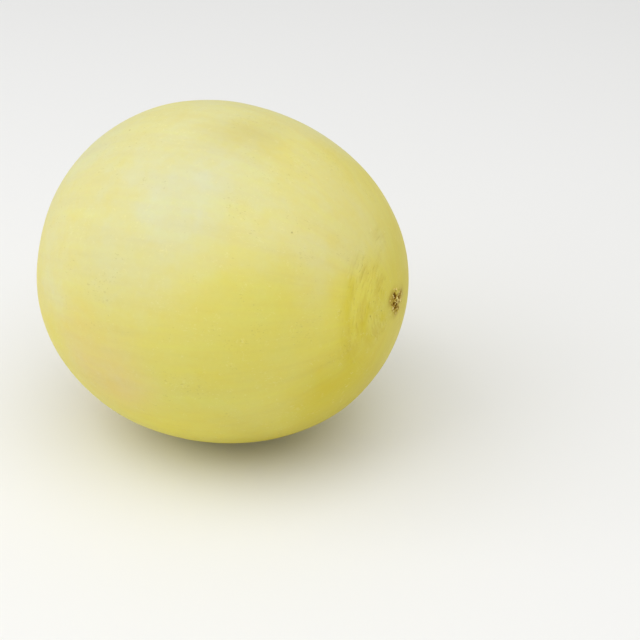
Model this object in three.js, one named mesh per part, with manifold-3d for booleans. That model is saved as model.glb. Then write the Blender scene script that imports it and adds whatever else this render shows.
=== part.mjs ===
// A whole honeydew melon, lying on its side on the small flat spot that it rests on.
//
// The fruit grew as one piece, so it is one solid: a blunt, slightly tapered body with the corky
// blossom scar at its +X end and the shallow stem dimple, with its round scar, at its -X end.
// Units are millimetres and degrees. +Z is up, and the origin is on the surface that the melon
// rests on, under the middle of its box.

import * as THREE from "three";
import { mergeVertices } from "three/addons/utils/BufferGeometryUtils.js";
import Module from "manifold-3d";

// Driving dimensions.
const LENGTH = 174; // along the body, from the stem end to the blossom end
const GIRTH_DIAMETER = 160; // across the widest part
const BLUNTNESS = 2.12; // power of the outline: 2 is an ellipsoid, and more makes blunter ends
const TAPER = 0.026; // share by which the blossom end is drawn out and the stem end drawn in
const REST_SPOT_DIAMETER = 36; // flat spot underneath, across the body
const BLOSSOM_SCAR_DIAMETER = 15;
const BLOSSOM_SCAR_HEIGHT = 0.35;
const STEM_SCAR_DIAMETER = 11;
const STEM_SCAR_HEIGHT = 0.9;
const STEM_DIMPLE_DIAMETER = 34;
const STEM_DIMPLE_DEPTH = 2.4;

// The growth axis, from the stem scar to the blossom scar, leans a little off the body's long axis.
const GROWTH_AZIMUTH = 3.9;
const GROWTH_ELEVATION = 3.8;

// Soft swellings and flats of the rind: where each is, how far it spreads and how high it stands.
const SWELLINGS = [
  { azimuth: -140, elevation: -7, spread: 14, height: 0.75 }, // shoulder beside the stem end
  { azimuth: -150, elevation: 11, spread: 14, height: -0.4 },
  { azimuth: -123, elevation: -29, spread: 13, height: -0.4 },
  { azimuth: -6, elevation: -35, spread: 13, height: 0.3 },
  { azimuth: 96, elevation: 65, spread: 13, height: 0.35 },
  { azimuth: 177, elevation: 52, spread: 11, height: -0.3 },
  { azimuth: 55, elevation: 8, spread: 24, height: 0.7 },
  { azimuth: 128, elevation: -6, spread: 20, height: -0.6 },
];

// Fineness of the surface.
const MERIDIANS = 80; // faces round the growth axis
const RINGS = 50; // faces from one scar to the other
const RING_CROWDING = 0.85; // 0 spaces the rings evenly, and towards 1 they crowd at the scars
const MERGE_DISTANCE = 1e-3;

const HALF_LENGTH = LENGTH / 2;
const GIRTH_RADIUS = GIRTH_DIAMETER / 2;
const X_AXIS = new THREE.Vector3(1, 0, 0);
const Y_AXIS = new THREE.Vector3(0, 1, 0);

/** The unit vector at an azimuth from +X towards +Y and an elevation towards +Z, in degrees. */
function directionAt(azimuth, elevation) {
  const around = THREE.MathUtils.degToRad(azimuth);
  const up = THREE.MathUtils.degToRad(elevation);
  return new THREE.Vector3(
    Math.cos(up) * Math.cos(around),
    Math.cos(up) * Math.sin(around),
    Math.sin(up),
  );
}

/** A bell curve: 1 at the middle and about 0.6 one spread away from it. */
function bell(distance, spread) {
  return Math.exp(-0.5 * (distance / spread) ** 2);
}

const growthAxis = directionAt(GROWTH_AZIMUTH, GROWTH_ELEVATION);
const swellings = SWELLINGS.map(({ azimuth, elevation, spread, height }) => ({
  centre: directionAt(azimuth, elevation),
  spread: THREE.MathUtils.degToRad(spread),
  height,
}));

/** Distance from the melon's centre to the rind along a unit vector: a blunt ellipsoid, drawn out
 *  at the blossom end by the third Legendre polynomial, plus each swelling's bell curve. */
function rindDistance(direction) {
  const alongShare = Math.abs(direction.dot(X_AXIS)) / HALF_LENGTH;
  const acrossShare = Math.hypot(direction.y, direction.z) / GIRTH_RADIUS;
  const blunt = (alongShare ** BLUNTNESS + acrossShare ** BLUNTNESS) ** (-1 / BLUNTNESS);
  const drawnOut = (5 * direction.x ** 3 - 3 * direction.x) / 2;
  return swellings.reduce(
    (sum, { centre, spread, height }) => sum + height * bell(direction.angleTo(centre), spread),
    blunt * (1 + TAPER * drawnOut),
  );
}

/** Height of the blossom scar's cork at an arc distance from its middle: a low dome. */
function blossomRelief(arc) {
  return BLOSSOM_SCAR_HEIGHT * bell(arc, BLOSSOM_SCAR_DIAMETER / 4);
}

/** Height at an arc distance from the stem scar's middle: a round dimple, and in it the scar left
 *  by the stem, a disc with a soft edge. */
function stemRelief(arc) {
  const dimple = -STEM_DIMPLE_DEPTH * bell(arc, STEM_DIMPLE_DIAMETER / 4);
  const disc = STEM_SCAR_HEIGHT * Math.exp(-((arc / (STEM_SCAR_DIAMETER / 2)) ** 6));
  return dimple + disc;
}

/** The melon's outside before it has its flat spot. A sphere's vertices are crowded towards the
 *  two scars, turned to the growth axis, and moved out to the rind. */
function makeRind() {
  const rind = new THREE.SphereGeometry(1, MERIDIANS, RINGS);
  const toGrowthAxis = new THREE.Quaternion().setFromUnitVectors(Y_AXIS, growthAxis);
  const places = rind.attributes.position;
  const direction = new THREE.Vector3();
  for (let i = 0; i < places.count; i++) {
    direction.fromBufferAttribute(places, i);
    const share = Math.acos(THREE.MathUtils.clamp(direction.y, -1, 1)) / Math.PI;
    const crowding = (RING_CROWDING * Math.sin(2 * Math.PI * share)) / (2 * Math.PI);
    const polar = Math.PI * (share - crowding);
    const around = Math.atan2(direction.z, direction.x);
    direction.set(
      Math.sin(polar) * Math.cos(around),
      Math.cos(polar),
      Math.sin(polar) * Math.sin(around),
    );
    direction.applyQuaternion(toGrowthAxis);
    const distance = rindDistance(direction);
    const relief =
      blossomRelief(polar * HALF_LENGTH) + stemRelief((Math.PI - polar) * HALF_LENGTH);
    direction.multiplyScalar(distance + relief);
    places.setXYZ(i, direction.x, direction.y, direction.z);
  }
  return rind;
}

const wasm = await Module();
wasm.setup();

/** A closed three.js geometry as a solid that can be cut. */
function solidFrom(geometry) {
  const bare = geometry.clone();
  bare.deleteAttribute("normal");
  bare.deleteAttribute("uv");
  const merged = mergeVertices(bare, MERGE_DISTANCE);
  return new wasm.Manifold(
    new wasm.Mesh({
      numProp: 3,
      vertProperties: merged.attributes.position.array,
      triVerts: new Uint32Array(merged.index.array),
    }),
  );
}

/** A cut solid as a three.js geometry. */
function geometryFrom(solid) {
  const mesh = solid.getMesh();
  const geometry = new THREE.BufferGeometry();
  geometry.setAttribute("position", new THREE.BufferAttribute(mesh.vertProperties, mesh.numProp));
  geometry.setIndex(new THREE.BufferAttribute(mesh.triVerts, 1));
  geometry.computeVertexNormals();
  return geometry;
}

/** Cuts the flat spot under the rind, as deep as a round girth needs for the spot's diameter, and
 *  puts the melon down on it, with the middle of its box over the origin. */
function restOnFlatSpot(rind) {
  rind.computeBoundingBox();
  const lowest = rind.boundingBox.min.z;
  const half = REST_SPOT_DIAMETER / 2;
  const spotDepth = GIRTH_RADIUS - Math.sqrt(GIRTH_RADIUS ** 2 - half ** 2);
  const blockSide = 2 * Math.max(LENGTH, GIRTH_DIAMETER);
  const block = new THREE.BoxGeometry(blockSide, blockSide, blockSide);
  block.translate(0, 0, lowest + spotDepth - blockSide / 2);
  const melon = geometryFrom(solidFrom(rind).subtract(solidFrom(block)));
  melon.computeBoundingBox();
  const middle = melon.boundingBox.getCenter(new THREE.Vector3());
  melon.translate(-middle.x, -middle.y, -melon.boundingBox.min.z);
  return melon;
}

const melon = new THREE.Mesh(
  restOnFlatSpot(makeRind()),
  new THREE.MeshStandardMaterial({ color: 0xded486, roughness: 0.5, metalness: 0 }),
);
melon.name = "melon";

const group = new THREE.Group();
group.add(melon);

export default group;
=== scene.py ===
"""A whole honeydew melon, lying on its side in a pale studio.

The fruit is one closed surface, worked out in polar form round its growth axis: a point of the rind
lies in a direction given by its arc from the blossom scar and its angle round the axis, at a
distance given by a formula. Its finish is one procedural material, whose masks for the corky scars
and the cracked rind are worked out with the same formulas as the relief. Lengths are in metres.
"""

import math

import bpy
import numpy as np
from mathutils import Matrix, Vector


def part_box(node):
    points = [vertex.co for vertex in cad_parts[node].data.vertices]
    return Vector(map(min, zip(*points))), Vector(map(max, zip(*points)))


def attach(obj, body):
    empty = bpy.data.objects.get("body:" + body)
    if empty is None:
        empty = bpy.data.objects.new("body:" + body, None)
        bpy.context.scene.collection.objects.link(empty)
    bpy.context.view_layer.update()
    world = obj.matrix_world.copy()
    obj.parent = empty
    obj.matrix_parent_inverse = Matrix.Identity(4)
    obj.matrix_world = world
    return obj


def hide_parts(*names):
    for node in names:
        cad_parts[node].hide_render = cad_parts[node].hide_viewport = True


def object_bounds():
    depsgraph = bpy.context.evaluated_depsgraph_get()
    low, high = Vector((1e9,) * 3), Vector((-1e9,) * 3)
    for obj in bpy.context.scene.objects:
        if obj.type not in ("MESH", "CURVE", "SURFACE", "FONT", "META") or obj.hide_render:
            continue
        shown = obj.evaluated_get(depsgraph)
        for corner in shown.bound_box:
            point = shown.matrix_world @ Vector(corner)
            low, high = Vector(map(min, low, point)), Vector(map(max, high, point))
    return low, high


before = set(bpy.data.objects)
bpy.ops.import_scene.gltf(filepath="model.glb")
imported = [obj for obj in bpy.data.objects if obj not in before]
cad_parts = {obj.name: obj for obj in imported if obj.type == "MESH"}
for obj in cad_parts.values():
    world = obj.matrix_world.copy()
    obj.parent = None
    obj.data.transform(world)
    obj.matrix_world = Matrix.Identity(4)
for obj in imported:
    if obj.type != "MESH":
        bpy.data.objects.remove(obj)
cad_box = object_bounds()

MM = 0.001

# The fruit's body. These repeat the sizes that the CAD solid is made to.
HALF_LENGTH = 87 * MM
GIRTH_RADIUS = 80 * MM
BLUNTNESS = 2.12
TAPER = 0.026
REST_SPOT_RADIUS = 18 * MM
GROWTH_AZIMUTH = 3.9
GROWTH_ELEVATION = 3.8
SWELLINGS = [
    # azimuth, elevation and spread in degrees, and height
    (-140, -7, 14, 0.75 * MM),
    (-150, 11, 14, -0.4 * MM),
    (-123, -29, 13, -0.4 * MM),
    (-6, -35, 13, 0.3 * MM),
    (96, 65, 13, 0.35 * MM),
    (177, 52, 11, -0.3 * MM),
    (55, 8, 24, 0.7 * MM),
    (128, -6, 20, -0.6 * MM),
]

# Scars.
BLOSSOM_SCAR_RADIUS = 7.5 * MM
BLOSSOM_SCAR_HEIGHT = 0.35 * MM
BLOSSOM_SCAR_WIDENING = 1.25
PIT_COUNT = 10
LOBE_COUNT = 4
STEM_SCAR_RADIUS = 5.5 * MM
STEM_SCAR_HEIGHT = 0.9 * MM
STEM_DIMPLE_RADIUS = 17 * MM
STEM_DIMPLE_DEPTH = 2.4 * MM
SAP_DOTS = 11
SAP_RING_RADIUS = 3.1 * MM

# The side of the fruit on which the rind round the blossom scar is cracked: the angle round the
# growth axis from its top, and the spread, in degrees.
CRACKED_SIDE = 84
CRACKED_SPREAD = 32

# Fineness of the surface.
MERIDIANS = 384
RINGS = 258

# Each random draw or noise adds a number of its own to this seed.
SEED = 7


# ---------------------------------------------------------------------------- numbers and noise


def direction_at(azimuth, elevation):
    """The unit vector at an azimuth from +X towards +Y and an elevation towards +Z, in degrees."""
    around, up = math.radians(azimuth), math.radians(elevation)
    return np.array([math.cos(up) * math.cos(around), math.cos(up) * math.sin(around), math.sin(up)])


def bell(distance, spread):
    """A bell curve: 1 at the middle and about 0.6 one spread away."""
    return np.exp(-0.5 * (distance / spread) ** 2)


def ease(value, low, high):
    """0 up to low, 1 from high on, and the cubic 3t^2 - 2t^3 between them."""
    share = np.clip((value - low) / (high - low), 0, 1)
    return share * share * (3 - 2 * share)


def turn_from(angle, around):
    """How far round one angle is from another, from half a turn back to half a turn on."""
    return (around - angle + math.pi) % (2 * math.pi) - math.pi


def soft_noise(points, seed):
    """A smooth random field from -1 to 1: one random number at each corner of a unit lattice,
    blended between the eight corners round a point by the quintic 6t^5 - 15t^4 + 10t^3."""
    period = 64
    corner_values = np.random.default_rng(seed).uniform(-1, 1, (period, period, period))
    cell = np.floor(points).astype(int)
    part = points - cell
    blend = part**3 * (part * (part * 6 - 15) + 10)
    total = np.zeros(points.shape[:-1])
    for corner in np.ndindex(2, 2, 2):
        i, j, k = np.moveaxis((cell + corner) % period, -1, 0)
        weight = np.prod(np.where(corner, blend, 1 - blend), axis=-1)
        total += weight * corner_values[i, j, k]
    return total


def layered_noise(points, layers, seed):
    """Soft noise in layers, each half as high and half as wide as the one before."""
    return sum(soft_noise(points * 2**n, seed + n) / 2**n for n in range(layers))


# ---------------------------------------------------------------------------- the fruit's shape

growth_axis = direction_at(GROWTH_AZIMUTH, GROWTH_ELEVATION)
growth_up = np.array([0, 0, 1]) - growth_axis[2] * growth_axis
growth_up /= np.linalg.norm(growth_up)
growth_side = np.cross(growth_axis, growth_up)


def ring_arcs():
    """Arcs from the blossom scar at which the rings lie. The wanted spacing is a curve over the
    arc, fine at the scars and on the cracked rind, and the rings share out its reciprocal."""
    arc = np.linspace(0, math.pi * HALF_LENGTH, 4000)
    from_blossom = [0, 8, 14, 20, 44, 62, 90, 225, 250, 262, 274]
    spacing = [0.16, 0.17, 0.4, 0.5, 0.55, 1.6, 3.0, 3.0, 1.0, 0.3, 0.24]
    wanted = np.interp(arc, np.array(from_blossom) * MM, np.array(spacing) * MM)
    rings_so_far = np.concatenate([[0], np.cumsum(np.diff(arc) / wanted[1:])])
    return np.interp(np.linspace(0, rings_so_far[-1], RINGS + 1), rings_so_far, arc)


def body_distance(direction):
    """Distance from the middle of the fruit to its rind: a blunt ellipsoid of revolution, drawn out
    at the blossom end by the third Legendre polynomial, plus each swelling's bell curve."""
    x, y, z = np.moveaxis(direction, -1, 0)
    along = np.abs(x) / HALF_LENGTH
    across = np.hypot(y, z) / GIRTH_RADIUS
    distance = (along**BLUNTNESS + across**BLUNTNESS) ** (-1 / BLUNTNESS)
    distance *= 1 + TAPER * (5 * x**3 - 3 * x) / 2
    for azimuth, elevation, spread, height in SWELLINGS:
        angle = np.arccos(np.clip(direction @ direction_at(azimuth, elevation), -1, 1))
        distance += height * bell(angle, math.radians(spread))
    return distance


def undulation(direction):
    """The rind's faint unevenness: layered noise some 35 mm wide and a quarter of a millimetre
    high, and finer noise some 9 mm wide."""
    place = direction * GIRTH_RADIUS
    broad = 0.22 * MM * layered_noise(place / (35 * MM), 2, SEED)
    fine = 0.035 * MM * soft_noise(place / (9 * MM), SEED + 10)
    return broad + fine


GOLDEN_ANGLE = math.pi * (3 - math.sqrt(5))


def spread_marks(count, ranges, seed):
    """Marks spread round a scar, one in each row. First comes its angle: each lies the golden angle
    on from the one before, plus a random share of it. Then comes a random length from each of the
    ranges, which are given in millimetres."""
    draws = np.random.default_rng(seed).uniform(0, 1, (len(ranges) + 1, count))
    around = (np.arange(count) + 0.4 * draws[0]) * GOLDEN_ANGLE
    lengths = [(low + (high - low) * draw) * MM for (low, high), draw in zip(ranges, draws[1:])]
    return np.stack([around, *lengths], axis=-1)


def pit_shares(flat, pits):
    """How deep in a pit each point is, from 0 to 1, and the depth there: each pit is an oval bell
    curve, long round the scar and narrow across it."""
    arc = np.hypot(flat[..., 0], flat[..., 1])
    around = np.arctan2(flat[..., 1], flat[..., 0])
    share = np.zeros(arc.shape)
    depth = np.zeros(arc.shape)
    for angle, out, half_length, half_width, deepest in pits:
        along = turn_from(angle, around) * out / half_length
        across = (arc - out) / half_width
        bowl = np.exp(-0.5 * (along**2 + across**2) ** 1.5)
        share = np.maximum(share, bowl)
        depth = np.maximum(depth, bowl * deepest)
    return share, depth


def scar_plane(arc, around):
    """The surface near a scar laid out flat: arc times the cosine and the sine of the angle."""
    return np.stack([arc * np.cos(around), arc * np.sin(around), np.zeros(arc.shape)], axis=-1)


def crumpled(flat, reach, width, seed):
    """A flat layout whose points are each moved by soft noise, up to about reach, so that what is
    drawn on it gets a ragged outline."""
    moved = flat.copy()
    for axis in range(2):
        moved[..., axis] += reach * layered_noise(flat / width, 3, seed + 10 * axis)
    return moved


def cork_chips(flat, pitch, seed):
    """The chips that drying cork breaks into: the cells round the points of a jittered grid. Gives
    how far each place is inside its chip, half the difference of its distances to the nearest and
    the next nearest of those points, and a random number for each chip."""
    place = flat[..., :2] / pitch
    cell = np.floor(place).astype(int)
    period = 64
    draws = np.random.default_rng(seed).uniform(0, 1, (period, period, 3))
    nearest = np.full(place.shape[:-1], 9.0)
    next_nearest = nearest.copy()
    number = np.zeros(nearest.shape)
    for step in np.ndindex(3, 3):
        corner = cell + step - 1
        draw = draws[corner[..., 0] % period, corner[..., 1] % period]
        away = np.linalg.norm(place - corner - draw[..., :2], axis=-1)
        closer = away < nearest
        next_nearest = np.where(closer, nearest, np.minimum(next_nearest, away))
        number = np.where(closer, draw[..., 2], number)
        nearest = np.minimum(nearest, away)
    return (next_nearest - nearest) / 2 * pitch, number


def blossom_scar(arc, around):
    """Relief, cork, pit, stain and tone of the blossom scar. A ragged patch of cork has broken into
    chips, dense and pale in the middle and thinning out to the edge, with brown fissures between
    them and deeper pits round the middle. A stain spreads past it in lobes. All of it is worked
    out for a round scar, and drawn a quarter wider to the sides."""
    flat = scar_plane(arc, around) / [1, BLOSSOM_SCAR_WIDENING, 1]
    arc = np.linalg.norm(flat, axis=-1)
    ragged = layered_noise(flat / (1.7 * MM), 3, SEED + 20)
    grain = layered_noise(flat / (0.4 * MM), 2, SEED + 30)
    torn = crumpled(flat, 0.35 * MM, 0.9 * MM, SEED + 40)
    out = arc / BLOSSOM_SCAR_RADIUS
    inside_chip, number = cork_chips(torn, 1.15 * MM, SEED + 60)
    patch = ease(0.8 + 0.6 * ragged - out, 0.0, 0.2)
    kept = ease(number - 0.95 * out**1.3, -0.05, 0.05)
    cork = patch * kept * ease(inside_chip, 0.05 * MM, 0.17 * MM)
    fissure = patch * (1 - ease(inside_chip, 0.04 * MM, 0.16 * MM)) * ease(0.95 - out, 0, 0.4)
    # Distance out, half length round the scar, half width and depth of the pits.
    pits = spread_marks(PIT_COUNT, [(1.5, 5.0), (0.5, 1.0), (0.4, 0.65), (0.3, 0.6)], SEED + 15)
    pit, pit_depth = pit_shares(torn, pits)
    cork *= 1 - ease(pit, 0.25, 0.6)
    lobes = bell(arc, 3.6 * MM) * (0.85 + 0.7 * ragged)
    for turn, lobe_out, reach in spread_marks(LOBE_COUNT, [(4.0, 5.6), (1.4, 2.2)], SEED + 16):
        middle = scar_plane(np.array(lobe_out), turn)
        lobes += 0.75 * bell(np.linalg.norm(torn - middle, axis=-1), reach)
    stain = np.clip(lobes, 0, 1) * ease(1.35 - out, 0, 0.4) * (0.85 + 0.15 * grain)
    height = BLOSSOM_SCAR_HEIGHT * bell(arc, BLOSSOM_SCAR_RADIUS / 2)
    height += cork * (0.12 + 0.16 * number + 0.04 * grain) * MM
    height += 0.25 * MM * bell(arc, 1.1 * MM) - 0.1 * MM * fissure - pit_depth
    tone = np.clip(0.3 + 0.55 * number + 0.25 * bell(arc, 1.4 * MM), 0, 1)
    return height, cork, np.maximum(pit, 0.6 * fissure), stain, tone


def stem_scar(arc, around):
    """Relief, cork, pit, stain and tone of the stem end: a round dimple, and in it the finely cracked
    cork disc that the stem came away from, with a raised rim, a ring of sap dots and a hollow in
    the middle."""
    flat = scar_plane(arc, around)
    ragged = layered_noise(flat / (2.0 * MM), 3, SEED + 50)
    grain = layered_noise(flat / (0.5 * MM), 2, SEED + 70)
    torn = crumpled(flat, 0.3 * MM, 1.1 * MM, SEED + 80)
    torn_arc = np.hypot(torn[..., 0], torn[..., 1])
    edge = torn_arc / STEM_SCAR_RADIUS
    disc = np.exp(-(edge**8))
    rim = bell(edge - 0.86, 0.1)
    inside_chip, number = cork_chips(torn, 0.9 * MM, SEED + 90)
    fissure = disc * (1 - ease(inside_chip, 0.03 * MM, 0.13 * MM))
    turn = np.arctan2(torn[..., 1], torn[..., 0]) * SAP_DOTS / (2 * math.pi) % 1 - 0.5
    along_ring = turn * 2 * math.pi * SAP_RING_RADIUS / SAP_DOTS
    dots = bell(along_ring, 0.32 * MM) * bell(torn_arc - SAP_RING_RADIUS, 0.34 * MM)
    hollow = bell(torn_arc, 0.8 * MM)
    loose_chips = ease(0.7 * ragged + 1.35 - edge, 0.0, 0.4) * ease(number, 0.3, 0.6)
    cork = np.maximum(ease(disc, 0.2, 0.7), loose_chips)
    height = -STEM_DIMPLE_DEPTH * bell(arc, STEM_DIMPLE_RADIUS / 2)
    height += STEM_SCAR_HEIGHT * disc
    height += (0.35 * rim + cork * (0.1 * number + 0.06 * grain)) * MM
    height -= (0.3 * dots + 0.7 * hollow + 0.08 * fissure) * MM
    pit = np.maximum.reduce([0.75 * dots, 0.9 * hollow, 0.3 * fissure])
    stain = 0.4 * np.clip(bell(arc, 6 * MM) * (0.8 + 0.6 * ragged), 0, 1)
    tone = np.clip(0.3 + 0.3 * number + 0.35 * rim - 0.3 * bell(torn_arc, 1.8 * MM), 0, 1)
    return height, cork, pit, stain, tone


def cracked_rind(arc, around):
    """Where the rind round a scar is cracked, from 0 to 1, and its relief: low welts that run round
    the scar, longer than they are wide, in patches that layered noise picks out. Round the blossom
    scar they lie mostly on one side."""
    spread = np.stack([np.cos(around) * 1.4, np.sin(around) * 1.4, arc / (16 * MM)], axis=-1)
    patches = layered_noise(spread, 2, SEED + 90)
    from_blossom = ease(arc, 9 * MM, 15 * MM) * (1 - ease(arc, 30 * MM, 44 * MM))
    to_stem = math.pi * HALF_LENGTH - arc
    from_stem = ease(to_stem, 7 * MM, 10 * MM) * (1 - ease(to_stem, 14 * MM, 30 * MM))
    side = bell(turn_from(math.radians(CRACKED_SIDE), around), math.radians(CRACKED_SPREAD))
    cracked = from_blossom * ease(0.7 * patches + 1.1 * side, 0.2, 0.9)
    cracked = np.maximum(cracked, from_stem * ease(patches, -0.4, 0.5))
    rows = np.stack([np.cos(around) * 5.5, np.sin(around) * 5.5, arc / (1.6 * MM)], axis=-1)
    welts = soft_noise(rows, SEED + 100)
    return cracked, 0.07 * MM * cracked * welts


def melon_surface():
    """Points of the rind on a grid of arc by angle, and their masks. Point = direction times (body
    distance + unevenness + relief), put down on its flat spot with the grid's box on the CAD box."""
    arc = ring_arcs()[:, None] * np.ones(MERIDIANS)
    around = np.linspace(0, 2 * math.pi, MERIDIANS, endpoint=False) * np.ones((RINGS + 1, 1))
    polar = (arc / HALF_LENGTH)[..., None]
    sideways = np.cos(around)[..., None] * growth_up + np.sin(around)[..., None] * growth_side
    direction = np.cos(polar) * growth_axis + np.sin(polar) * sideways
    blossom = blossom_scar(arc, around)
    stem = stem_scar(math.pi * HALF_LENGTH - arc, around)
    on_blossom_half = (arc < math.pi * HALF_LENGTH / 2) * 1.0
    height, cork, pit, stain, tone = [
        one * on_blossom_half + other * (1 - on_blossom_half) for one, other in zip(blossom, stem)
    ]
    cracked, welts = cracked_rind(arc, around)
    distance = body_distance(direction) + undulation(direction) + height + welts
    point = direction * distance[..., None]
    masks = {"cork": cork, "pit": pit, "stain": stain, "tone": tone, "cracked": cracked}
    growth = np.stack([np.cos(around), np.sin(around), arc], axis=-1)
    return put_down(point), growth, masks


def put_down(point):
    """Lays the fruit on its flat spot. Below the spot's height the rind is pressed flat, by a soft
    maximum that rounds the spot's edge, and the fruit's box is centred over the origin."""
    lowest = point[..., 2].min()
    spot_height = lowest + GIRTH_RADIUS - math.sqrt(GIRTH_RADIUS**2 - REST_SPOT_RADIUS**2)
    edge_softness = 0.5 * MM
    above = point[..., 2] - spot_height
    point[..., 2] = (above + np.sqrt(above**2 + edge_softness**2)) / 2
    low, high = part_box("melon")
    middle = (point[..., :2].reshape(-1, 2).min(0) + point[..., :2].reshape(-1, 2).max(0)) / 2
    point[..., :2] += np.array([(low.x + high.x) / 2, (low.y + high.y) / 2]) - middle
    point[..., 2] += low.z - point[..., 2].min()
    return point


def grid_faces(rings, meridians):
    """Faces of a grid closed round its axis, outwards: a fan of triangles at each pole and a band
    of quads between one ring and the next. Point 0 and the last point are the poles."""
    here = np.arange(meridians)
    after = (here + 1) % meridians
    first = 1 + np.arange(rings - 2)[:, None] * meridians
    second = first + meridians
    bands = np.stack([first + here, second + here, second + after, first + after], -1)
    last_ring = 1 + (rings - 2) * meridians
    last_point = last_ring + meridians
    near = np.stack([np.zeros(meridians, int), 1 + here, 1 + after], -1)
    far = np.stack([np.full(meridians, last_point), last_ring + after, last_ring + here], -1)
    return near.tolist() + bands.reshape(-1, 4).tolist() + far.tolist()


def with_poles(grid):
    """A grid's values as one list of points: one point for each pole, and every inner ring whole."""
    inner = grid[1:-1].reshape(-1, *grid.shape[2:])
    return np.concatenate([grid[:1].mean(axis=1), inner, grid[-1:].mean(axis=1)])


def make_melon():
    """The fruit as one closed mesh, with its masks and its growth coordinates as attributes."""
    grid, growth, masks = melon_surface()
    points = with_poles(grid)
    mesh = bpy.data.meshes.new("melon_fruit")
    mesh.from_pydata(points.tolist(), [], grid_faces(RINGS, MERIDIANS))
    mesh.shade_smooth()
    turn = mesh.attributes.new("growth", "FLOAT_VECTOR", "POINT")
    turn.data.foreach_set("vector", with_poles(growth).ravel())
    for name, mask in masks.items():
        attribute = mesh.attributes.new(name, "FLOAT", "POINT")
        attribute.data.foreach_set("value", with_poles(mask[..., None]).ravel())
    melon = bpy.data.objects.new("melon_fruit", mesh)
    bpy.context.scene.collection.objects.link(melon)
    return melon


# ---------------------------------------------------------------------------- node helpers


def paint(code):
    """A colour written as #rrggbb, as the linear values that a shader takes."""
    parts = np.array([int(code[i : i + 2], 16) for i in (1, 3, 5)]) / 255
    linear = np.where(parts <= 0.04045, parts / 12.92, ((parts + 0.055) / 1.055) ** 2.4)
    return (*linear.tolist(), 1.0)


def add_node(tree, kind, inputs=None, **settings):
    """Adds a node, with settings by name, and values or links for its inputs by name or number."""
    node = tree.nodes.new(kind)
    for name, value in settings.items():
        setattr(node, name, value)
    for key, value in (inputs or {}).items():
        if isinstance(value, bpy.types.NodeSocket):
            tree.links.new(value, node.inputs[key])
        else:
            node.inputs[key].default_value = value
    return node


def math_node(tree, operation, first, second=0.0, clamp=False):
    """The result of one Math node."""
    inputs = {0: first, 1: second}
    return add_node(tree, "ShaderNodeMath", inputs, operation=operation, use_clamp=clamp).outputs[0]


def eased(tree, value, low, high, to_low=0.0, to_high=1.0):
    """A value eased from to_low, at low, to to_high, at high."""
    inputs = {"Value": value, "From Min": low, "From Max": high, "To Min": to_low, "To Max": to_high}
    return add_node(tree, "ShaderNodeMapRange", inputs, interpolation_type="SMOOTHSTEP").outputs[0]


def mixed(tree, share, first, second, blend="MIX"):
    """Two colours mixed by a share."""
    inputs = {0: share, 6: first, 7: second}
    return add_node(tree, "ShaderNodeMix", inputs, data_type="RGBA", blend_type=blend).outputs[2]


def tinted(tree, colour, pattern, strength, tint):
    """A colour mixed towards a tint by a pattern times a strength."""
    return mixed(tree, math_node(tree, "MULTIPLY", pattern, strength), colour, tint)


def scaled(tree, vector, scale):
    """A vector times a number."""
    inputs = {0: vector, "Scale": scale}
    return add_node(tree, "ShaderNodeVectorMath", inputs, operation="SCALE").outputs[0]


def moved_by(tree, vector, offset):
    """A vector plus another."""
    inputs = {0: vector, 1: offset}
    return add_node(tree, "ShaderNodeVectorMath", inputs, operation="ADD").outputs[0]


def combined(tree, x, y, z):
    """A vector made from its three parts."""
    return add_node(tree, "ShaderNodeCombineXYZ", {0: x, 1: y, 2: z}).outputs[0]


def noise(tree, vector, scale, detail=2.0, roughness=0.5, distortion=0.0):
    """The value of a noise texture."""
    inputs = {
        "Vector": vector,
        "Scale": scale,
        "Detail": detail,
        "Roughness": roughness,
        "Distortion": distortion,
    }
    return add_node(tree, "ShaderNodeTexNoise", inputs).outputs["Fac"]


def new_group(name, inputs, outputs):
    """An empty node group. Inputs and outputs are name: (socket kind, default). Returns the tree,
    its inputs by name, and a function that links a value to a named output."""
    tree = bpy.data.node_groups.new(name, "ShaderNodeTree")
    for direction, sockets in (("INPUT", inputs), ("OUTPUT", outputs)):
        for socket_name, (kind, default) in sockets.items():
            socket = tree.interface.new_socket(socket_name, in_out=direction, socket_type=kind)
            if default is not None:
                socket.default_value = default
    given = tree.nodes.new("NodeGroupInput").outputs
    taken = tree.nodes.new("NodeGroupOutput").inputs
    return tree, given, lambda output, value: tree.links.new(value, taken[output])


def place_group(tree, group, inputs):
    """A node group placed in a tree. Returns its outputs."""
    node = tree.nodes.new("ShaderNodeGroup")
    node.node_tree = group
    for name, value in inputs.items():
        if isinstance(value, bpy.types.NodeSocket):
            tree.links.new(value, node.inputs[name])
        else:
            node.inputs[name].default_value = value
    return node.outputs


FLOAT, COLOUR, VECTOR = "NodeSocketFloat", "NodeSocketColor", "NodeSocketVector"
WHITE = (1.0, 1.0, 1.0, 1.0)


# ---------------------------------------------------------------------------- effects


def make_soft_patch():
    """A soft patch of another colour: full in the middle, and gone at its reach."""
    inputs = {
        "Colour": (COLOUR, WHITE),
        "Patch": (COLOUR, WHITE),
        "Place": (VECTOR, None),
        "Middle": (VECTOR, None),
        "Reach": (FLOAT, 0.04),
        "Strength": (FLOAT, 0.5),
    }
    tree, given, give = new_group("Soft patch", inputs, {"Colour": (COLOUR, WHITE)})
    ends = {0: given["Place"], 1: given["Middle"]}
    away = add_node(tree, "ShaderNodeVectorMath", ends, operation="DISTANCE").outputs["Value"]
    share = eased(tree, math_node(tree, "DIVIDE", away, given["Reach"]), 0.0, 1.0, 1.0, 0.0)
    share = math_node(tree, "MULTIPLY", share, given["Strength"])
    give("Colour", mixed(tree, share, given["Colour"], given["Patch"]))
    return tree


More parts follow.
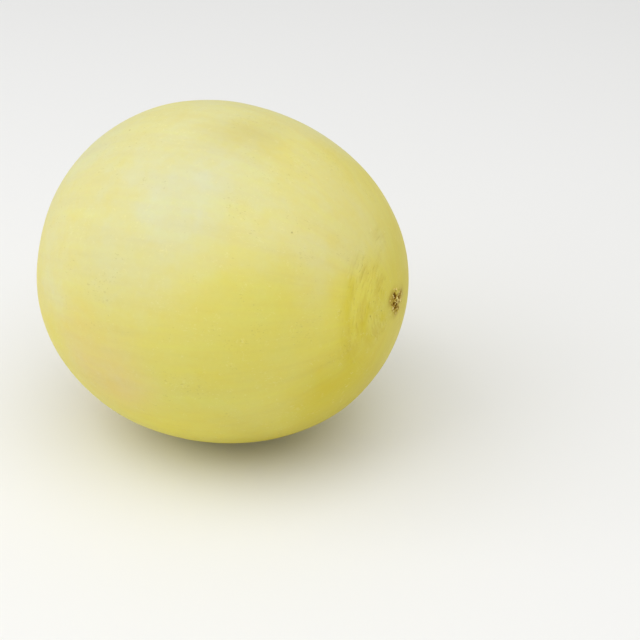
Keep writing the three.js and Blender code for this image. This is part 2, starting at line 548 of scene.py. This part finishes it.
def make_mottle():
    """Clouds of two tints laid over a colour, each where its own noise is high."""
    inputs = {
        "Colour": (COLOUR, WHITE),
        "First tint": (COLOUR, WHITE),
        "Second tint": (COLOUR, WHITE),
        "Place": (VECTOR, None),
        "Width": (FLOAT, 0.03),
        "Strength": (FLOAT, 0.3),
    }
    tree, given, give = new_group("Mottle", inputs, {"Colour": (COLOUR, WHITE)})
    per_metre = math_node(tree, "DIVIDE", 1.0, given["Width"])
    place = scaled(tree, given["Place"], per_metre)
    moved = moved_by(tree, place, (7.3, 2.1, 5.7))
    colour = given["Colour"]
    for where, tint in ((place, "First tint"), (moved, "Second tint")):
        cloud = eased(tree, noise(tree, where, 1.0, 3.0, 0.55), 0.4, 0.7)
        share = math_node(tree, "MULTIPLY", cloud, given["Strength"])
        colour = mixed(tree, share, colour, given[tint], "MULTIPLY")
    give("Colour", colour)
    return tree


def make_streaks():
    """Streaks that run from scar to scar: noise on the growth coordinates, stretched along the
    fruit. Width is the streaks' width at the fruit's girth."""
    inputs = {"Growth": (VECTOR, None), "Width": (FLOAT, 0.006), "Length": (FLOAT, 0.04)}
    tree, given, give = new_group("Growth streaks", inputs, {"Streak": (FLOAT, 0.0)})
    turn = add_node(tree, "ShaderNodeSeparateXYZ", {0: given["Growth"]}).outputs
    around = math_node(tree, "DIVIDE", GIRTH_RADIUS, given["Width"])
    stretched = combined(
        tree,
        math_node(tree, "MULTIPLY", turn[0], around),
        math_node(tree, "MULTIPLY", turn[1], around),
        math_node(tree, "DIVIDE", turn[2], given["Length"]),
    )
    give("Streak", noise(tree, stretched, 1.0, 2.0, 0.55))
    return tree


def make_tone():
    """A colour made a little lighter or darker by a pattern whose middle value is a half."""
    inputs = {"Colour": (COLOUR, WHITE), "Pattern": (FLOAT, 0.5), "Strength": (FLOAT, 0.1)}
    tree, given, give = new_group("Tone", inputs, {"Colour": (COLOUR, WHITE)})
    swing = math_node(tree, "SUBTRACT", given["Pattern"], 0.5)
    factor = math_node(tree, "ADD", math_node(tree, "MULTIPLY", swing, given["Strength"]), 1.0)
    give("Colour", scaled(tree, given["Colour"], factor))
    return tree


def make_flecks():
    """Small irregular flecks, a little longer along the fruit: where a fine noise on the growth
    coordinates is high, in the clusters that a wide noise picks out."""
    inputs = {
        "Growth": (VECTOR, None),
        "Place": (VECTOR, None),
        "Shift": (FLOAT, 0.0),
        "Width": (FLOAT, 0.0008),
        "Cover": (FLOAT, 0.3),
    }
    tree, given, give = new_group("Flecks", inputs, {"Fleck": (FLOAT, 0.0)})
    turn = add_node(tree, "ShaderNodeSeparateXYZ", {0: given["Growth"]}).outputs
    around = math_node(tree, "DIVIDE", GIRTH_RADIUS, given["Width"])
    along = math_node(tree, "DIVIDE", math_node(tree, "MULTIPLY", turn[2], 0.6), given["Width"])
    stretched = combined(
        tree,
        math_node(tree, "MULTIPLY", turn[0], around),
        math_node(tree, "MULTIPLY", turn[1], around),
        math_node(tree, "ADD", along, given["Shift"]),
    )
    fine = noise(tree, stretched, 1.0, 1.0)
    shifted = moved_by(tree, given["Place"], combined(tree, 0.0, 0.0, given["Shift"]))
    cluster = eased(tree, noise(tree, shifted, 60.0, 2.0), 0.4, 0.65)
    limit = math_node(tree, "SUBTRACT", 0.84, math_node(tree, "MULTIPLY", given["Cover"], cluster))
    over = math_node(tree, "SUBTRACT", fine, limit)
    give("Fleck", eased(tree, over, 0.0, 0.06))
    return tree


def make_crack_rings():
    """Fine cracks that run round a scar: thin rings a pitch apart on the arc, bent by a wobble. A
    noise of its own breaks each ring into dashes, which taper to their ends. Thickness is half a
    crack's widest width, as a share of the pitch."""
    inputs = {
        "Growth": (VECTOR, None),
        "Wobble": (FLOAT, 0.0),
        "Pitch": (FLOAT, 0.002),
        "Thickness": (FLOAT, 0.15),
        "Dashes": (FLOAT, 7.0),
        "Threshold": (FLOAT, 0.55),
    }
    tree, given, give = new_group("Crack rings", inputs, {"Crack": (FLOAT, 0.0)})
    turn = add_node(tree, "ShaderNodeSeparateXYZ", {0: given["Growth"]}).outputs
    phase = math_node(tree, "ADD", math_node(tree, "DIVIDE", turn[2], given["Pitch"]), given["Wobble"])
    ring = math_node(tree, "FLOOR", phase)
    from_middle = math_node(tree, "SUBTRACT", math_node(tree, "FRACT", phase), 0.5)
    away = math_node(tree, "ABSOLUTE", from_middle)
    along_ring = combined(
        tree,
        math_node(tree, "MULTIPLY", turn[0], given["Dashes"]),
        math_node(tree, "MULTIPLY", turn[1], given["Dashes"]),
        math_node(tree, "MULTIPLY", ring, 3.7),
    )
    draw = noise(tree, along_ring, 1.0, 1.0)
    kept = eased(tree, math_node(tree, "SUBTRACT", draw, given["Threshold"]), 0.0, 0.1)
    half_width = math_node(tree, "MULTIPLY", kept, given["Thickness"])
    line = eased(tree, math_node(tree, "DIVIDE", away, half_width), 0.3, 1.0, 1.0, 0.0)
    give("Crack", math_node(tree, "MULTIPLY", line, kept))
    return tree


def make_specks():
    """Small round specks: each cell of a Voronoi texture has one in its middle, if the cell's
    random colour is over a threshold, and the colour sets its size too."""
    inputs = {
        "Place": (VECTOR, None),
        "Pitch": (FLOAT, 0.01),
        "Radius": (FLOAT, 0.0005),
        "Share": (FLOAT, 0.3),
    }
    tree, given, give = new_group("Specks", inputs, {"Speck": (FLOAT, 0.0)})
    per_metre = math_node(tree, "DIVIDE", 1.0, given["Pitch"])
    cells = add_node(tree, "ShaderNodeTexVoronoi", {"Vector": given["Place"], "Scale": per_metre})
    draw = add_node(tree, "ShaderNodeSeparateColor", {0: cells.outputs["Color"]}).outputs
    reach = math_node(tree, "MULTIPLY", given["Radius"], per_metre)
    reach = math_node(tree, "MULTIPLY", reach, math_node(tree, "ADD", draw[1], 0.4))
    near = math_node(tree, "DIVIDE", cells.outputs["Distance"], reach)
    dot = eased(tree, near, 0.5, 1.2, 1.0, 0.0)
    kept = math_node(tree, "LESS_THAN", draw[0], given["Share"])
    give("Speck", math_node(tree, "MULTIPLY", dot, kept))
    return tree


def make_hairlines():
    """Thin broken lines: where a noise passes through its middle value, kept where a wider noise
    is high."""
    inputs = {
        "Place": (VECTOR, None),
        "Scale": (FLOAT, 100.0),
        "Thickness": (FLOAT, 0.02),
        "Cover": (FLOAT, 0.5),
    }
    tree, given, give = new_group("Hairlines", inputs, {"Line": (FLOAT, 0.0)})
    level = noise(tree, given["Place"], given["Scale"], 1.0, 0.5, 0.3)
    away = math_node(tree, "ABSOLUTE", math_node(tree, "SUBTRACT", level, 0.5))
    line = eased(tree, math_node(tree, "DIVIDE", away, given["Thickness"]), 0.3, 1.0, 1.0, 0.0)
    moved = moved_by(tree, given["Place"], (3.1, 8.4, 1.7))
    wide = noise(tree, moved, math_node(tree, "MULTIPLY", given["Scale"], 0.6), 1.0)
    left = math_node(tree, "SUBTRACT", 1.0, given["Cover"])
    high = math_node(tree, "ADD", left, 0.1)
    give("Line", math_node(tree, "MULTIPLY", line, eased(tree, wide, left, high)))
    return tree


# ---------------------------------------------------------------------------- the rind's finish

RIND_BASE = paint("#e2d66e")
# Tints that a colour is multiplied by.
MILKY_TINT = (0.99, 1.01, 1.14, 1)
GOLD_TINT = (1.01, 0.98, 0.82, 1)
GREEN_TINT = (0.97, 0.995, 0.93, 1)
RIND_PALE = paint("#ece6a6")
CORK_PALE = paint("#f0dc88")
CORK_DEEP = paint("#a6841c")
PIT_RUST = paint("#946e08")
PIT_BROWN = paint("#664800")
STAIN_OLIVE = paint("#a07a06")
CRACK_BROWN = paint("#7c6006")
CRACK_OLIVE = paint("#9c8610")
CRACK_GOLD = paint("#c0a01f")
CRACK_YELLOW = paint("#d1bf0c")
LIP_YELLOW = paint("#e9e07c")
SCUFF_CREAM = paint("#eee8a6")
SPECK_BROWN = paint("#8f7d3a")

# Tints of the rind, from its pale crown to its deep yellow underside. The pale cream is partly the
# rind's own colour and partly painted sheen, lighter where the lamps light the top. The olive is
# partly the rind's own colour and partly painted shade, darker underneath.
CREAM_AND_PAINTED_SHEEN = paint("#d6d4aa")
STEM_CREAM = paint("#dfd89c")
WARM_PEACH = paint("#e3cd88")
CROWN_STRAW = paint("#cdc17c")
FLANK_YELLOW = paint("#dcd266")
BRIGHT_YELLOW = paint("#e4d850")
BLOSSOM_GOLD = paint("#d3c22c")
# Olive underneath: deep yellow rind with painted shade in it.
OLIVE_AND_PAINTED_SHADE = paint("#c3b214")

# Broad patches of those tints: azimuth, elevation, reach in millimetres, tint and strength. The
# rind is palest on top, and deepest near the blossom scar and underneath. Besides the rind's own
# colour, the patches carry painted light: the cream on top is partly painted sheen, and the olive
# underneath is partly painted shade.
RIND_AND_LIGHT_PATCHES = [
    # Cream on top: pale rind with painted sheen in it.
    (-90, 60, 95, CREAM_AND_PAINTED_SHEEN, 0.85),
    (120, 50, 80, CREAM_AND_PAINTED_SHEEN, 0.7),
    (-150, 45, 50, CREAM_AND_PAINTED_SHEEN, 0.8),
    (180, 0, 80, STEM_CREAM, 0.7),
    (-130, 20, 50, STEM_CREAM, 0.8),
    (0, 40, 40, STEM_CREAM, 0.6),
    (-30, 30, 38, STEM_CREAM, 0.75),
    (40, 60, 35, STEM_CREAM, 0.7),
    (-20, 75, 30, CROWN_STRAW, 0.6),
    (110, -25, 75, FLANK_YELLOW, 0.6),
    (-60, -10, 60, FLANK_YELLOW, 0.8),
    (-45, 15, 40, FLANK_YELLOW, 0.8),
    (150, 10, 40, WARM_PEACH, 0.6),
    (-170, -50, 40, WARM_PEACH, 0.6),
    (-100, -10, 42, WARM_PEACH, 0.8),
    (-125, 5, 25, STEM_CREAM, 0.7),
    (10, 5, 50, BLOSSOM_GOLD, 0.8),
    (-20, -15, 40, BLOSSOM_GOLD, 0.8),
    # Olive underneath: deep yellow rind with painted shade in it.
    (-35, -50, 50, OLIVE_AND_PAINTED_SHADE, 0.8),
    (0, -35, 45, OLIVE_AND_PAINTED_SHADE, 0.8),
    (-75, -40, 45, BRIGHT_YELLOW, 0.6),
    (-15, 10, 30, BRIGHT_YELLOW, 0.6),
]


# Clouds over the patches: width and strength.
CLOUDS = ((45 * MM, 0.7), (16 * MM, 0.55), (6 * MM, 0.4))

# Growth streaks: width, length and strength.
STREAKS = ((8 * MM, 60 * MM, 0.1), (3 * MM, 30 * MM, 0.08))

# Bands on the cracked rind, which are streaks wider than they are long: width, length, strength
# and colour.
CRACK_BANDS = (
    (45 * MM, 9.5 * MM, 0.6, CRACK_YELLOW),
    (32 * MM, 3 * MM, 0.27, CRACK_GOLD),
)

# Rings of cracks: shift in pitches, pitch, thickness, dashes and threshold. The faint cracks and
# their pale lips are the same but for the shift, which lays each lip beside its crack.
CRACK_RINGS = {
    "faint": (0.0, 1.9 * MM, 0.22, 6.0, 0.48),
    "lip": (0.3, 1.9 * MM, 0.22, 6.0, 0.48),
    "strong": (0.7, 3.8 * MM, 0.08, 10.0, 0.58),
}


def rind_colour(tree, place, growth, streaks):
    """The rind's colour: a base with broad patches, which hold the rind's own tints together with
    painted sheen on top and painted shade underneath, clouds of two tints, and growth streaks. Noise
    moves the patches' outlines by some 10 mm."""
    wander = add_node(tree, "ShaderNodeTexNoise", {"Vector": place, "Scale": 18.0, "Detail": 2.0})
    centred = moved_by(tree, wander.outputs["Color"], (-0.5, -0.5, -0.5))
    wandered = moved_by(tree, scaled(tree, centred, 0.05), place)
    soft_patch = make_soft_patch()
    colour = RIND_BASE
    # Patches of rind colour, with painted sheen on top and painted shade underneath among them.
    for azimuth, elevation, reach, tint, strength in RIND_AND_LIGHT_PATCHES:
        direction = direction_at(azimuth, elevation)
        middle = fruit_middle + direction * body_distance(direction[None])[0]
        inputs = {
            "Colour": colour,
            "Patch": tint,
            "Place": wandered,
            "Middle": middle.tolist(),
            "Reach": reach * MM,
            "Strength": strength,
        }
        colour = place_group(tree, soft_patch, inputs)["Colour"]
    mottle = make_mottle()
    for width, strength in CLOUDS:
        inputs = {
            "Colour": colour,
            "First tint": MILKY_TINT,
            "Second tint": GOLD_TINT,
            "Place": place,
            "Width": width,
            "Strength": strength,
        }
        colour = place_group(tree, mottle, inputs)["Colour"]
    tone = make_tone()
    for width, length, strength in STREAKS:
        inputs = {"Growth": growth, "Width": width, "Length": length}
        streak = place_group(tree, streaks, inputs)["Streak"]
        inputs = {"Colour": colour, "Pattern": streak, "Strength": strength}
        colour = place_group(tree, tone, inputs)["Colour"]
        green = math_node(tree, "MULTIPLY", eased(tree, streak, 0.4, 0.7), 0.5)
        colour = mixed(tree, green, colour, GREEN_TINT, "MULTIPLY")
    grain = noise(tree, place, 420.0, 3.0, 0.6)
    inputs = {"Colour": colour, "Pattern": grain, "Strength": 0.045}
    return place_group(tree, tone, inputs)["Colour"]


def make_rind_material():
    """Satin, waxy rind, with corky scars, cracked rind round them, and flecks, scuffs and specks."""
    material = bpy.data.materials.new("honeydew_rind")
    material.use_nodes = True
    tree = material.node_tree
    tree.nodes.clear()
    place = add_node(tree, "ShaderNodeTexCoord").outputs["Object"]
    growth = add_node(tree, "ShaderNodeAttribute", attribute_name="growth").outputs["Vector"]
    masks = {
        name: add_node(tree, "ShaderNodeAttribute", attribute_name=name).outputs["Fac"]
        for name in ("cork", "pit", "stain", "tone", "cracked")
    }
    streaks = make_streaks()
    colour = rind_colour(tree, place, growth, streaks)

    # The cracked rind round the scars: yellow and golden bands, long faint cracks with pale lips,
    # and a few short dark ones.
    for width, length, strength, tint in CRACK_BANDS:
        inputs = {"Growth": growth, "Width": width, "Length": length}
        bands = place_group(tree, streaks, inputs)["Streak"]
        bands = math_node(tree, "MULTIPLY", eased(tree, bands, 0.42, 0.7), masks["cracked"])
        colour = tinted(tree, colour, bands, strength, tint)
    rings = make_crack_rings()
    bend = math_node(tree, "MULTIPLY", noise(tree, place, 70.0, 4.0, 0.55), 4.0)
    cracks = {}
    for name, (shift, pitch, thickness, dashes, threshold) in CRACK_RINGS.items():
        inputs = {
            "Growth": growth,
            "Wobble": math_node(tree, "ADD", bend, shift),
            "Pitch": pitch,
            "Thickness": thickness,
            "Dashes": dashes,
            "Threshold": threshold,
        }
        crack = place_group(tree, rings, inputs)["Crack"]
        cracks[name] = math_node(tree, "MULTIPLY", crack, masks["cracked"])

    # Flecks, scuffs and specks all over.
    inputs = {"Growth": growth, "Place": place, "Shift": 0.0, "Width": 0.9 * MM, "Cover": 0.2}
    flecks = make_flecks()
    pale_fleck = place_group(tree, flecks, inputs)["Fleck"]
    dark_fleck = place_group(tree, flecks, {**inputs, "Shift": 5.3})["Fleck"]
    inputs = {"Place": place, "Scale": 520.0, "Thickness": 0.035, "Cover": 0.4}
    scuff = place_group(tree, make_hairlines(), inputs)["Line"]
    inputs = {"Place": place, "Pitch": 13 * MM, "Radius": 0.6 * MM, "Share": 0.3}
    speck = place_group(tree, make_specks(), inputs)["Speck"]
    for pattern, strength, tint in (
        (cracks["lip"], 0.16, LIP_YELLOW),
        (cracks["faint"], 0.15, CRACK_OLIVE),
        (cracks["strong"], 0.42, CRACK_BROWN),
        (scuff, 0.24, SCUFF_CREAM),
        (pale_fleck, 0.22, RIND_PALE),
        (dark_fleck, 0.15, SPECK_BROWN),
        (speck, 0.5, SPECK_BROWN),
        (masks["stain"], 0.75, STAIN_OLIVE),
    ):
        colour = tinted(tree, colour, pattern, strength, tint)

    # Cork and pits of the scars.
    grain = noise(tree, place, 1800.0, 4.0, 0.65)
    lightness = math_node(tree, "ADD", masks["tone"], math_node(tree, "SUBTRACT", grain, 0.5))
    cork_colour = mixed(tree, eased(tree, lightness, 0.1, 0.9), CORK_DEEP, CORK_PALE)
    colour = mixed(tree, masks["cork"], colour, cork_colour)
    depths = mixed(tree, eased(tree, masks["pit"], 0.4, 0.9), PIT_RUST, PIT_BROWN)
    colour = mixed(tree, eased(tree, masks["pit"], 0.1, 0.5), colour, depths)

    # Relief too fine for the mesh, in millimetres: pores, cracks, scuffs, flecks and cork grain.
    pores = noise(tree, place, 900.0, 2.0, 0.6)
    relief = math_node(tree, "MULTIPLY", pores, 0.012)
    for pattern, height in (
        (cracks["faint"], -0.008),
        (cracks["strong"], -0.03),
        (cracks["lip"], 0.01),
        (scuff, 0.012),
        (pale_fleck, 0.012),
    ):
        relief = math_node(tree, "ADD", relief, math_node(tree, "MULTIPLY", pattern, height))
    rough_cork = math_node(tree, "MULTIPLY", math_node(tree, "MULTIPLY", grain, masks["cork"]), 0.25)
    relief = math_node(tree, "ADD", relief, rough_cork)
    bump = add_node(tree, "ShaderNodeBump", {"Height": relief, "Distance": MM, "Strength": 1.0})

    roughness = eased(tree, noise(tree, place, 60.0, 3.0), 0.3, 0.7, 0.44, 0.54)
    dull = math_node(tree, "MAXIMUM", masks["cork"], masks["pit"])
    roughness = math_node(tree, "ADD", roughness, math_node(tree, "MULTIPLY", dull, 0.35), clamp=True)
    shader = add_node(
        tree,
        "ShaderNodeBsdfPrincipled",
        {
            "Base Color": colour,
            "Roughness": roughness,
            "Normal": bump.outputs[0],
            "IOR": 1.45,
            "Specular IOR Level": 0.2,
            "Subsurface Weight": 0.12,
            "Subsurface Radius": (1.0, 0.8, 0.25),
            "Subsurface Scale": 3 * MM,
        },
    )
    tree.links.new(shader.outputs[0], add_node(tree, "ShaderNodeOutputMaterial").inputs[0])
    return material


# ---------------------------------------------------------------------------- the studio

LENS = 85.0
CAMERA_AZIMUTH = 28.3
CAMERA_ELEVATION = 30.0
CAMERA_DISTANCE = 0.7155
AIM_RIGHT = 46.3 * MM
AIM_UP = -22.1 * MM
LAMP_DISTANCE = 1.6
LAMP_SIZE = 1.6
KEY_POWER = 10.6
FILL_POWER = 10.8
SKY_STRENGTH = 0.576
FLOOR_RADIUS = 6.0
FLOOR_SIDES = 96
FLOOR_NEAR = (0.86, 0.86, 0.85, 1)
FLOOR_FAR = (0.985, 0.985, 0.985, 1)


def view_axes(azimuth, elevation):
    """Right, up and back of a camera whose azimuth is 0 when it looks along +Y, in degrees."""
    turn, lift = math.radians(azimuth), math.radians(elevation)
    right = Vector((math.cos(turn), math.sin(turn), 0))
    back = Vector((math.sin(turn) * math.cos(lift), -math.cos(turn) * math.cos(lift), math.sin(lift)))
    return right, back.cross(right), back


def look(thing, place, target):
    """Puts a camera or a lamp at a place, turned to a target."""
    thing.location = place
    thing.rotation_euler = (Vector(place) - Vector(target)).to_track_quat("Z", "Y").to_euler()


def make_camera(middle):
    """The camera, looking down on the fruit and aimed to one side of its middle."""
    camera = bpy.data.objects.new("camera", bpy.data.cameras.new("camera"))
    bpy.context.scene.collection.objects.link(camera)
    camera.data.lens = LENS
    right, up, back = view_axes(CAMERA_AZIMUTH, CAMERA_ELEVATION)
    aim = Vector(middle) + AIM_RIGHT * right + AIM_UP * up
    look(camera, aim + CAMERA_DISTANCE * back, aim)
    bpy.context.scene.camera = camera


def make_lamp(name, azimuth, elevation, power, target):
    """A square soft lamp, at an azimuth and an elevation from what it lights."""
    data = bpy.data.lights.new(name, "AREA")
    data.size = LAMP_SIZE
    data.energy = power
    lamp = bpy.data.objects.new(name, data)
    bpy.context.scene.collection.objects.link(lamp)
    place = Vector(target) + LAMP_DISTANCE * Vector(direction_at(azimuth, elevation).tolist())
    look(lamp, place, target)


def make_floor():
    """A pale round floor, at the height of the fruit's flat spot. Far from the fruit, where the lamps
    don't reach, it's lighter, so that it ends in the surroundings without a line."""
    turn = np.linspace(0, 2 * math.pi, FLOOR_SIDES, endpoint=False)
    height = np.full(FLOOR_SIDES, cad_box[0][2])
    rim = np.stack([FLOOR_RADIUS * np.cos(turn), FLOOR_RADIUS * np.sin(turn), height], axis=-1)
    mesh = bpy.data.meshes.new("floor")
    mesh.from_pydata(rim.tolist(), [], [list(range(FLOOR_SIDES))])
    floor = bpy.data.objects.new("floor", mesh)
    bpy.context.scene.collection.objects.link(floor)
    material = bpy.data.materials.new("pale_floor")
    material.use_nodes = True
    tree = material.node_tree
    place = add_node(tree, "ShaderNodeTexCoord").outputs["Object"]
    away = add_node(tree, "ShaderNodeVectorMath", {0: place}, operation="LENGTH").outputs["Value"]
    shader = tree.nodes["Principled BSDF"]
    colour = mixed(tree, eased(tree, away, 0.9, 3.0), FLOOR_NEAR, FLOOR_FAR)
    tree.links.new(colour, shader.inputs["Base Color"])
    shader.inputs["Roughness"].default_value = 0.9
    mesh.materials.append(material)


def light_studio(middle):
    """An even white surrounding, a large soft key lamp from the left and a fill from above."""
    world = bpy.data.worlds.new("studio")
    bpy.context.scene.world = world
    world.use_nodes = True
    sky = world.node_tree.nodes["Background"]
    sky.inputs["Color"].default_value = (1, 1, 1, 1)
    sky.inputs["Strength"].default_value = SKY_STRENGTH
    make_lamp("key", -135, 45, KEY_POWER, middle)
    make_lamp("fill", -30, 70, FILL_POWER, middle)
    bpy.context.scene.view_settings.view_transform = "Standard"


low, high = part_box("melon")
# The fruit's middle, from which its distances are measured, in the frame of the CAD box.
fruit_middle = np.array([(low.x + high.x) / 2 - TAPER * HALF_LENGTH, 0, high.z - GIRTH_RADIUS])
make_camera(fruit_middle)
make_floor()
light_studio(fruit_middle)

melon = make_melon()
melon.data.materials.append(make_rind_material())
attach(melon, "root")
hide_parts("melon")
